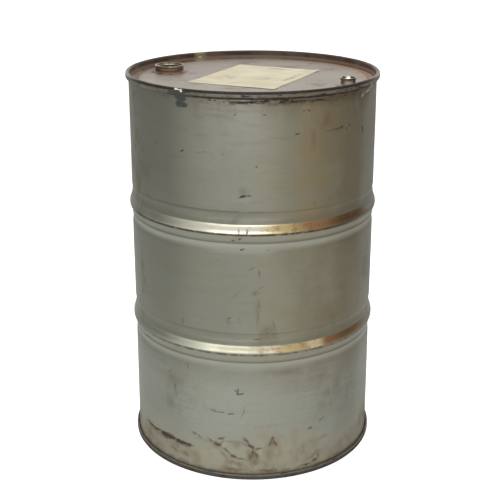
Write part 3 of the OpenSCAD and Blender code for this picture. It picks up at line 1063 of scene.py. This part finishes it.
def hoop_light_and_shade(f, colour):
    """The paint round both hoops: a pale band below each, painted highlight where the slope catches the
    light, a paler band just under the crest, and dark bands where the crest meets its grooves, painted shade.
    """
    z = f.z
    for hoop in HOOPS:
        # painted highlight: the pale band below each hoop
        rubbed = f.times(f.fade(z, hoop - 0.0440, hoop - 0.0270), f.fade(z, hoop - 0.0222, hoop - 0.0240))
        colour = f.coat(colour, (184, 186, 174), f.times(rubbed, f.fade(f.rub, 0.3, 0.6, 0.62, 0.46)))
        colour = f.coat(colour, (170, 170, 156), f.band(z, hoop - 0.0105, 0.0040, 0.005), 0.35)
        # painted shade: dark bands where the crest meets its grooves, above and below
        colour = f.coat(colour, (104, 102, 88), f.band(z, hoop + 0.0235, 0.0012, 0.006), 0.40)
        colour = f.coat(colour, (100, 98, 84), f.band(z, hoop - 0.0218, 0.0005, 0.0020), 0.55)
    return colour


def wear_behind(f, colour):
    """Rust, its runs and the knocks on the sides and the back."""
    behind, fine = f.behind, f.fine
    rust = f.spread((0.7, 0.7, 1.0), 15, 7, 0.7, shift=(8, 3, 6))
    colour = f.coat(colour, (120, 96, 64), f.times(behind, f.fade(rust, 0.54, 0.66)), 0.55)
    core = f.times(behind, f.fade(rust, 0.645, 0.68), f.fade(fine, 0.35, 0.5))
    colour = f.coat(colour, (92, 64, 40), core, 0.8)
    runs = f.times(behind, f.fade(f.streak, 0.56, 0.72), f.fade(f.z, 0.2, 0.75, 0.2, 1.0))
    colour = f.coat(colour, (122, 106, 76), runs, 0.4)
    knocks = f.times(behind, f.fade(f.spread((0.35, 0.35, 2.4), 34, 5, 0.66, shift=(6, 2, 1)), 0.665, 0.69),
                     f.fade(fine, 0.3, 0.5))
    return f.coat(colour, (60, 50, 37), knocks, 0.9), knocks


def drum_paint():
    """Worn grey-green paint with brown film, grime, rust, scrapes and bare hoops, and painted shade and
    highlights on its sides, hoops and a dent.
    """
    f = WallFinish("worn grey-green drum paint")
    degrees, fine = f.degrees, f.fine
    colour = old_paint(f)
    colour, film = brown_film(f, colour)
    colour, dirt, splash, smudge = side_shade_and_dirt(f, colour)
    below = f.math("SUBTRACT", TOP, f.z)
    colour, flaked = under_chime(f, colour, below)
    crest_dirt, groove_shade, scratch = hoop_dirt_and_shade(f)
    gouge, stroke, crease, scrapes = knocks_in_front(f)
    bare, metal = bare_hoops(f)

    speck = f.fade(f.spread((1, 1, 1), 52, 3, 0.7, shift=(5, 5, 5)), 0.73, 0.77)
    colour = f.coat(colour, (70, 56, 38), speck, 0.8)
    colour = hoop_light_and_shade(f, colour)
    # painted shade along the grooves' edges, and the scratch over the upper hoop
    colour = f.coat(colour, (62, 60, 48), f.most(groove_shade, f.times(scratch, 0.55)))
    colour = f.mix(bare, colour, metal)
    hoop_rust = f.times(bare, f.fade(f.chip, 0.50, 0.62), f.fade(degrees, -8, 14, 0.15, 1.0))
    colour = f.coat(colour, (140, 104, 64), hoop_rust, 0.55)
    colour = f.coat(colour, (46, 42, 30), crest_dirt, 0.9)
    colour, knocks = wear_behind(f, colour)

    # the welded side seam, and over it the creases, the dirt of the strokes and the scrapes
    from_weld = f.times(f.math("SUBTRACT", degrees, WELD_AT), WALL_R * math.pi / 180)
    weld = f.times(f.band(from_weld, 0, 0.0012, 0.0012), f.fade(below, 0.012, 0.016))
    colour = f.coat(colour, (104, 98, 82), weld, 0.55)
    colour = f.coat(colour, (178, 178, 162), crease, 0.6)
    colour = f.mix(f.times(stroke, 0.95), colour,
                   f.two_tone(fine, 0.4, 0.6, (62, 48, 32), (96, 74, 50)))
    colour = f.mix(gouge, colour, f.two_tone(fine, 0.4, 0.6, (54, 47, 36), (80, 66, 48)))
    colour = f.coat(colour, (54, 46, 34), scrapes)
    scrapes = f.most(scrapes, gouge, stroke, flaked)
    colour = f.coat(colour, (40, 31, 21), flaked)

    # spilt dark paint that ran down from the chime, and the painted shade and painted highlight of the deep
    # dent under the chime
    blot = f.blot(f.unrolled)
    colour = f.coat(colour, (66, 69, 66), blot)
    colour = f.coat(colour, (54, 55, 48), f.marks(f.unrolled, drawn(DENT_SHADE), inner=0.5), 0.92)
    colour = f.coat(colour, (176, 175, 160), f.marks(f.unrolled, drawn(DENT_SHINE), inner=0.2), 0.85)

    dull = f.most(f.times(film, 0.2), scrapes, f.fade(splash, 0.085, 0.03), dirt, smudge, blot)
    rough = f.uneven(f.fade(dull, 0, 1, 0.36, 0.74), fine, 0.2)
    rough = f.math("MAXIMUM", f.math("MULTIPLY", rough, f.fade(bare, 0, 1, 1.0, 0.8)), LEAST_ROUGH)
    metallic = f.times(bare, f.fade(scrapes, 0, 0.6, 0.45, 0.0))
    relief = f.bump(fine, 0.00025, f.fade(bare, 0, 1, 0.35, 0.06))
    sunken = f.most(scrapes, knocks, f.times(groove_shade, 0.5))
    relief = f.bump(f.math("SUBTRACT", 1.0, sunken), 0.0006, 0.5, relief)
    relief = f.bump(f.times(weld, f.fade(fine, 0.3, 0.7, 0.7, 1.0)), 0.0010, 0.6, relief)
    return f.finish(Base_Color=colour, Roughness=rough, Metallic=metallic, Normal=relief)


def chime_paint():
    f = Finish("chipped paint of the top chime")
    degrees = f.math("DEGREES", around(f))
    chips = f.spread((1, 1, 0.8), 46, 5, 0.7, shift=(1, 2, 3))
    long_chips = f.spread((0.55, 0.55, 2.2), 75, 5, 0.7, shift=(3, 6, 2))
    gone = f.most(
        f.times(f.fade(f.z, TOP - 0.0062, TOP - 0.0044), f.fade(chips, 0.22, 0.32),
                f.band(degrees, 0, 52, 26)),
        f.times(f.fade(f.z, TOP - 0.0108, TOP - 0.0128), f.fade(long_chips, 0.38, 0.46),
                f.band(degrees, 18, 50, 14)),
        f.times(f.band(degrees, 10, 40, 20), f.fade(long_chips, 0.53, 0.57)),
        f.fade(chips, 0.64, 0.68))
    cloud = f.spread((1, 1, 1), 12, 4)
    fine = f.spread((1, 1, 1), 180, 3)
    colour = f.two_tone(cloud, 0.35, 0.65, (106, 103, 90), (130, 126, 110))
    colour = f.coat(colour, (100, 88, 66), f.band(degrees, 34, 14, 18), 0.45)
    colour = f.coat(colour, (74, 60, 46), f.fade(chips, 0.48, 0.58), 0.45)
    colour = f.mix(gone, colour, f.two_tone(fine, 0.4, 0.6, (29, 23, 16), (50, 38, 27)))
    unrolled = f.flat(f.times(around(f), WALL_R), f.z, 0.004, 90)
    colour = f.coat(colour, (62, 65, 62), f.blot(unrolled))
    white = f.most(f.spot(unrolled, (-0.1645, 0.8935), (0.0045, 0.0026), 0, 0.6),
                   f.spot(unrolled, (-0.1515, 0.8905), (0.0038, 0.0040), 20, 0.6),
                   f.spot(unrolled, (-0.1580, 0.8925), (0.008, 0.0012), 0, 0.5))
    colour = f.coat(colour, (236, 232, 220), white)
    rough = f.fade(gone, 0, 1, 0.42, 0.72)
    relief = f.bump(f.math("SUBTRACT", 1.0, gone), 0.0003, 0.6, f.bump(fine, 0.0002, 0.3))
    return f.finish(Base_Color=colour, Roughness=rough, Normal=relief)


def head_paint():
    f = Finish("faded taupe head paint with rust round it")
    radius = from_axis(f)
    degrees = f.math("DEGREES", around(f))
    cloud = f.spread((1, 1, 1), 4.5, 5, 0.6)
    patch = f.spread((1, 1, 1), 17, 6, 0.65, shift=(2, 4, 1))
    fine = f.spread((1, 1, 1), 170, 3, 0.6)
    panel = f.two_tone(cloud, 0.36, 0.64, (130, 118, 103), (144, 133, 116))
    panel = f.coat(panel, (118, 98, 82), f.fade(patch, 0.50, 0.70), 0.3)
    back = f.times(f.fade(f.y, 0.02, 0.22), f.fade(f.x, 0.12, -0.05, 0.3, 1.0))
    panel = f.coat(panel, (120, 103, 90), f.times(back, f.fade(patch, 0.3, 0.6, 0.4, 0.75)))
    panel = f.coat(panel, (92, 76, 62), f.fade(fine, 0.5, 0.68), 0.14)
    rust = f.two_tone(patch, 0.36, 0.62, (98, 82, 71), (124, 106, 92))
    rust = f.coat(rust, (186, 138, 108),
                  f.times(f.band(degrees, 95, 35, 40), f.fade(patch, 0.30, 0.60, 0.9, 0.35)))
    rust = f.coat(rust, (66, 48, 36), f.fade(fine, 0.45, 0.68, 0, 0.3))
    uneven = f.uneven(radius, patch, 0.034)
    colour = f.mix(f.fade(uneven, 0.247, 0.270, 0, 0.9), panel, rust)
    # painted highlight along the ridge of the step round the panel
    edge = f.band(radius, 0.2600, 0.0012, 0.0022)
    colour = f.coat(colour, (176, 150, 132), edge, 0.35)
    wall = f.fade(radius, 0.2780, 0.2800)
    dark = f.two_tone(patch, 0.38, 0.62, (74, 58, 46), (110, 90, 75))
    colour = f.mix(wall, colour, dark)
    # painted highlight: a pale band along the foot of the chime's inner wall
    foot = f.times(wall, f.band(f.z, PANEL_Z + 0.0035, 0.0016, 0.003))
    colour = f.mix(f.times(foot, 0.8), colour,
                   f.two_tone(cloud, 0.4, 0.6, (152, 132, 116), (156, 128, 108)))
    crest = f.fade(f.z, TOP - 0.0035, TOP - 0.0008)
    crest = f.times(crest, f.fade(patch, 0.3, 0.5, 0.75, 1.0))
    worn_crest = f.mix(f.band(degrees, 0, 50, 24),
                       f.two_tone(patch, 0.4, 0.55, (84, 76, 66), (60, 50, 41)),
                       f.two_tone(patch, 0.36, 0.52, (56, 48, 37), (30, 24, 18)))
    # painted reflection: the crest is lighter at its far left and right sides
    sides = f.band(f.math("ABSOLUTE", degrees), 80, 14, 10)
    worn_crest = f.coat(worn_crest, (128, 125, 110), sides, 0.9)
    colour = f.mix(crest, colour, worn_crest)

    on_head = f.flat(f.x, f.y, wobble=0.008)
    inside = f.fade(radius, 0.272, 0.262)
    large, small = middle("large_flange"), middle("small_flange")
    around_large = f.spot(on_head, large, (0.052, 0.050), 0, 0.72)
    around_small = f.spot(on_head, small, (0.027, 0.027), 0, 0.6)
    boss_rust = f.two_tone(patch, 0.4, 0.6, (92, 70, 56), (122, 96, 78))
    colour = f.mix(f.times(around_large, f.fade(patch, 0.3, 0.5, 0.6, 0.95)), colour, boss_rust)
    colour = f.mix(f.times(around_small, f.fade(patch, 0.36, 0.6), 0.6), colour, boss_rust)
    high = f.times(f.fade(f.z, PANEL_Z + 0.0026, PANEL_Z + 0.004), inside)
    collar = f.two_tone(patch, 0.4, 0.6, (96, 70, 56), (130, 98, 78))
    across_large = f.math("ABSOLUTE", f.math("SUBTRACT", f.x, large[0]))
    across_small = f.math("ABSOLUTE", f.math("SUBTRACT", f.x, small[0]))
    # painted highlight across the front of the large plug's collar, under its rim
    painted_highlight = f.times(high, f.fade(f.z, PANEL_Z + 0.0055, PANEL_Z + 0.0085), f.fade(across_large, 0.026, 0.012))
    collar = f.coat(collar, (200, 146, 114), painted_highlight, 0.8)
    colour = f.mix(f.times(high, 0.92), colour, collar)
    right = f.spot(on_head, small, (0.03, 0.03), 0, 0.9)
    # painted light on the small plug's collar: a painted highlight across its front and painted shade at its
    # ends
    small_collar_light_and_shade = f.two_tone(across_small, 0.014, 0.004, (120, 102, 86), (252, 240, 214))
    colour = f.mix(f.times(right, high), colour, small_collar_light_and_shade)
    wet = f.spot(on_head, (-0.132, 0.250), (0.018, 0.030), -28, 0.2)
    colour = f.coat(colour, (168, 156, 118), f.times(wet, wall), 0.75)
    # painted glint: a small near-white spot on the far inner wall beside the stain
    chip = f.times(f.spot(on_head, (-0.1325, 0.2470), (0.0050, 0.0070), 0, 0.4),
                   f.band(f.z, 0.8832, 0.0014, 0.0016))
    colour = f.coat(colour, (236, 214, 190), chip)
    rough = f.fade(f.most(f.fade(uneven, 0.252, 0.266), f.fade(patch, 0.5, 0.7)), 0, 1, 0.46, 0.66)
    relief = f.bump(fine, 0.0003, 0.4)
    relief = f.bump(patch, 0.0006, 0.25, relief)
    return f.finish(Base_Color=colour, Roughness=rough, Normal=relief)


def bottom_paint():
    f = Finish("dark scuffed paint of the bottom head")
    radius = from_axis(f)
    cloud = f.spread((1, 1, 1), 7, 5, 0.6)
    patch = f.spread((1, 1, 1), 26, 6, 0.68, shift=(7, 4, 1))
    fine = f.spread((1, 1, 1), 170, 3, 0.6)
    colour = f.two_tone(cloud, 0.36, 0.64, (70, 70, 66), (92, 92, 86))
    rust = f.two_tone(fine, 0.4, 0.62, (104, 74, 50), (66, 48, 36))
    colour = f.mix(f.times(f.fade(patch, 0.50, 0.62), 0.8), colour, rust)
    colour = f.mix(f.times(f.band(radius, 0.274, 0.005, 0.008), 0.7), colour, rust)
    band = f.fade(radius, 0.2880, 0.2892)
    outer = f.two_tone(patch, 0.44, 0.62, (74, 75, 70), (56, 50, 43))
    colour = f.mix(band, colour, outer)
    # painted highlight: a pale line round the bottom chime's outer side
    painted_highlight = f.times(f.band(f.z, 0.0118, 0.0009, 0.0012), f.fade(patch, 0.34, 0.5), f.fade(radius, 0.286, 0.288))
    colour = f.coat(colour, (150, 128, 108), painted_highlight, 0.6)
    ground = f.times(f.fade(f.z, 0.0016, 0.0004), f.fade(radius, 0.27, 0.28))
    colour = f.coat(colour, (112, 108, 100), ground, 0.7)
    relief = f.bump(patch, 0.0005, 0.4, f.bump(fine, 0.0003, 0.4))
    rough = f.fade(patch, 0.4, 0.65, 0.48, 0.75)
    return f.finish(Base_Color=colour, Roughness=rough, Normal=relief)


def zinc(name, light, shade, stain, cup=None, glint=None):
    """Dull zinc plating, handled and stained. A cup is darkened inside, round its middle and below its
    height, as painted shade; a glint is the middle of a painted highlight, and the rest of the part is
    darkened as painted shade."""
    f = Finish(name)
    patch = f.spread((1, 1, 1), 90, 5, 0.65)
    fine = f.spread((1, 1, 1), 420, 3, 0.6)
    colour = f.mix(f.fade(patch, 0.35, 0.65), light, shade)
    colour = f.mix(f.times(f.fade(patch, 0.54, 0.68), 0.7), colour, stain)
    worn = f.fade(patch, 0.54, 0.68)
    if cup:
        # painted shade inside the cup
        deep = f.times(f.fade(f.z, cup[2], cup[2] - 0.003),
                       f.spot(f.flat(f.x, f.y), cup, (0.0282, 0.0282), 0, 0.96))
        colour = f.coat(colour, (58, 50, 40), deep, 0.8)
        worn = f.most(worn, f.times(deep, 0.7))
    if glint:
        # painted highlight round the glint, and painted shade over the rest of the part
        near = f.spot(f.flat(f.x, f.y), glint, (0.0078, 0.0125), 0, 0.4)
        colour = f.mix(near, f.mix(0.6, colour, tone(64, 52, 40)), tone(246, 240, 222))
        worn = f.times(worn, f.fade(near, 0, 1, 1.0, 0.3))
    metallic = f.fade(worn, 0, 1, 0.9, 0.25)
    rough = f.math("MAXIMUM", f.uneven(f.fade(patch, 0.4, 0.7, 0.30, 0.62), fine, 0.2), LEAST_ROUGH)
    relief = f.bump(fine, 0.00012, 0.35)
    return f.finish(Base_Color=colour, Metallic=metallic, Roughness=rough, Normal=relief)


def rubber(name, light, dark, rough=0.7):
    f = Finish(name)
    patch = f.spread((1, 1, 1), 120, 4, 0.6)
    fine = f.spread((1, 1, 1), 900, 2, 0.5)
    colour = f.mix(f.fade(patch, 0.36, 0.66), light, dark)
    relief = f.bump(fine, 0.0001, 0.4)
    return f.finish(Base_Color=colour, Roughness=f.fade(patch, 0.3, 0.7, rough - 0.08, rough + 0.1),
                    Normal=relief)


def label_paper():
    f = Finish("aged paper of the label")
    own = f.centred(f.place, middle("paper_label"), LABEL_TURN)
    cloud = f.spread((1, 1, 1), 9, 5, 0.6, where=own)
    fibre = f.spread((1, 6, 1), 260, 3, 0.6, where=own)
    smear = f.spread((14, 1, 1), 7, 5, 0.6, where=own)
    colour = f.two_tone(cloud, 0.36, 0.64, (224, 214, 190), (212, 201, 172))
    colour = f.coat(colour, (172, 160, 128), f.fade(smear, 0.50, 0.66), 0.45)
    colour = f.coat(colour, (168, 154, 120), f.fade(fibre, 0.5, 0.7), 0.15)
    along, across, _ = f.parts(own)
    rim = f.math("MAXIMUM", f.math("SUBTRACT", f.math("ABSOLUTE", along), LABEL_L / 2 - 0.008),
                 f.math("SUBTRACT", f.math("ABSOLUTE", across), LABEL_W / 2 - 0.008))
    sheet = f.flat(along, across)
    grey = f.most(f.spot(sheet, (LABEL_L / 2 - 0.022, 0.0), (0.009, 0.062), 0, 0.3),
                  f.spot(sheet, (0.03, 0.022 - LABEL_W / 2), (0.090, 0.010), 0, 0.3),
                  f.times(f.spot(sheet, (-0.05, 0.05), (0.050, 0.035), 20, 0.1), 0.5),
                  f.times(f.spot(sheet, (-0.02, -0.03), (0.030, 0.022), -30, 0.1), 0.4))
    blur = f.spread((1, 1, 1), 42, 2, 0.5, where=own)
    colour = f.coat(colour, (138, 128, 101), f.times(grey, f.fade(blur, 0.36, 0.62)), 0.7)
    worn = f.fade(f.uneven(rim, cloud, 0.03), 0.001, 0.009)
    colour = f.coat(colour, (170, 150, 116), worn, 0.4)
    relief = f.bump(fibre, 0.00008, 0.4)
    relief = f.bump(cloud, 0.001, 0.12, relief)
    return f.finish(Base_Color=colour, Roughness=0.85, Normal=relief)


def assign(piece, *materials):
    piece.data.materials.clear()
    for material in materials:
        piece.data.materials.append(material)


# ---------------------------------------------------------------- the pieces

body = make_body()
assign(body, drum_paint())
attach(body, "drum")
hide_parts("body_shell")

head = make_top_head()
assign(head, head_paint(), chime_paint())
# the chime's outer side, past the seam's flat crown, is painted as the wall is
chime_side = layer(4) + FLAT / 2 + 0.0008
for polygon in head.data.polygons:
    c = polygon.center
    if math.hypot(c.x, c.y) > chime_side and c.z < TOP - 0.0004:
        polygon.material_index = 1
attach(head, "drum")
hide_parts("top_head")

bottom = make_bottom_head()
assign(bottom, bottom_paint())
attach(bottom, "drum")
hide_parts("bottom_head")

label = make_label()
assign(label, label_paper())
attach(label, "drum")
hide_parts("paper_label")

plug_x, plug_y, _ = middle("large_plug")
plug_zinc = zinc("dull zinc of the plugs", tone(168, 160, 140), tone(138, 130, 112), tone(92, 72, 52),
                 cup=(plug_x, plug_y, heights("large_plug")[1] - 0.003))
small_x, small_y, _ = middle("small_plug")
# the small plug's zinc, in lighter tones, with a painted highlight at its back and painted shade round it
small_zinc_with_glint = zinc("brighter zinc of the small plug", tone(214, 206, 184), tone(176, 166, 144),
                  tone(110, 88, 64), glint=(small_x, small_y + 0.011))
flange_zinc = zinc("zinc of the flanges", tone(150, 148, 140), tone(120, 118, 110), tone(96, 70, 48))
seal_rubber = rubber("pale rubber of the plug gaskets", tone(176, 166, 142), tone(140, 128, 104))
black_rubber = rubber("black rubber of the flange gaskets", tone(34, 34, 33), tone(52, 50, 48))
compound = rubber("hardened seam compound", tone(176, 146, 92), tone(140, 110, 66), 0.6)

for size in CLOSURES:
    plug = make_plug(size)
    assign(plug, small_zinc_with_glint if size == "small" else plug_zinc)
    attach(plug, size + "_screw")
    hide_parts(size + "_plug")
    ring = make_flange(size)
    assign(ring, flange_zinc)
    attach(ring, "drum")
    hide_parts(size + "_flange")
    seal = make_seal(size)
    assign(seal, seal_rubber)
    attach(seal, size + "_seal")
    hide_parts(size + "_plug_gasket")
    assign(cad_nodes[size + "_flange_gasket"], black_rubber)
for node in ("top_seam_seal", "bottom_seam_seal"):
    assign(cad_nodes[node], compound)

# ---------------------------------------------------------------- floor, light and camera

# How much of white the floor shows of its own, its colour and its roughness
FLOOR_LIFT = 0.9
FLOOR_COLOUR = (0.8, 0.8, 0.79, 1)
FLOOR_ROUGH = 0.9

# The studio's brightness all round, and what is added in front and behind: where it starts and
# where it is full along the front-to-back direction, and its strength
DIM = 0.04
FRONT_FILL = (-0.10, -0.50, 0.32)
BACKDROP = (0.46, 0.62, 1.35)

# The lamps: name, place, what they point at, width and depth, power in watts and colour
LAMPS = [
    ("front_box", (-0.45, -3.0, 0.62), (0, 0, 0.32), (3.2, 1.0), 40, (1, 0.995, 0.965)),
    ("over_box", (0, -0.2, 3.0), (0, 0, 0.8), (1.6, 1.4), 34, (1, 1, 1)),
]

# The camera: its place, how far it looks down and aside, in degrees, its lens and the film's
# width, in millimetres, and how far the picture is shifted up
CAMERA_AT = (0, -2.34608, 1.28343)
LOOK_DOWN = 17.233
LOOK_ASIDE = 0.147
LENS, FILM_W = 73.98, 36
SHIFT_UP = -0.08


def lay_floor():
    deselect()
    bpy.ops.mesh.primitive_plane_add(size=40, location=(0, 0, 0))
    floor = named("floor")
    pale = bpy.data.materials.new("pale floor")
    pale.use_nodes = True
    m = Mix(pale.node_tree)
    base = m.tree.nodes["Principled BSDF"]
    base.inputs["Base Color"].default_value = FLOOR_COLOUR
    base.inputs["Roughness"].default_value = FLOOR_ROUGH
    glow = m.node("ShaderNodeEmission")
    seen = m.node("ShaderNodeLightPath").outputs["Is Camera Ray"]
    m.join(m.times(seen, FLOOR_LIFT), glow.inputs["Strength"])
    both = m.node("ShaderNodeAddShader")
    m.join(base.outputs[0], both.inputs[0])
    m.join(glow.outputs[0], both.inputs[1])
    m.join(both.outputs[0], m.tree.nodes["Material Output"].inputs["Surface"])
    assign(floor, pale)
    return floor


def light_air():
    """A white backdrop behind the drum, in a studio that is darker all round."""
    world = bpy.data.worlds.new("studio")
    bpy.context.scene.world = world
    world.use_nodes = True
    m = Mix(world.node_tree)
    sky = m.tree.nodes["Background"]
    sky.inputs["Color"].default_value = (1, 1, 1, 1)
    direction = m.node("ShaderNodeSeparateXYZ")
    m.join(m.node("ShaderNodeTexCoord").outputs["Generated"], direction.inputs[0])
    total = DIM
    for start, full, strength in (FRONT_FILL, BACKDROP):
        total = m.math("ADD", m.fade(direction.outputs[1], start, full, 0, strength), total)
    seen = m.node("ShaderNodeLightPath").outputs["Is Camera Ray"]
    m.join(m.most(total, seen), sky.inputs["Strength"])


def lamp(name, place, target, size, power, colour):
    deselect()
    bpy.ops.object.light_add(type="AREA", location=place)
    light = bpy.context.object
    light.name = name
    light.data.shape = "RECTANGLE"
    light.data.size, light.data.size_y = size
    light.data.energy = power
    light.data.color = colour
    light.rotation_euler = (Vector(target) - Vector(place)).to_track_quat("-Z", "Y").to_euler()


def set_camera():
    data = bpy.data.cameras.new("front")
    camera = bpy.data.objects.new("front", data)
    bpy.context.scene.collection.objects.link(camera)
    camera.location = CAMERA_AT
    camera.rotation_euler = (math.radians(90 - LOOK_DOWN), 0, math.radians(LOOK_ASIDE))
    data.sensor_width = FILM_W
    data.lens = LENS
    data.shift_y = SHIFT_UP
    bpy.context.scene.camera = camera


floor = lay_floor()
light_air()
for row in LAMPS:
    lamp(*row)
set_camera()
bpy.context.scene.view_settings.view_transform = "Standard"
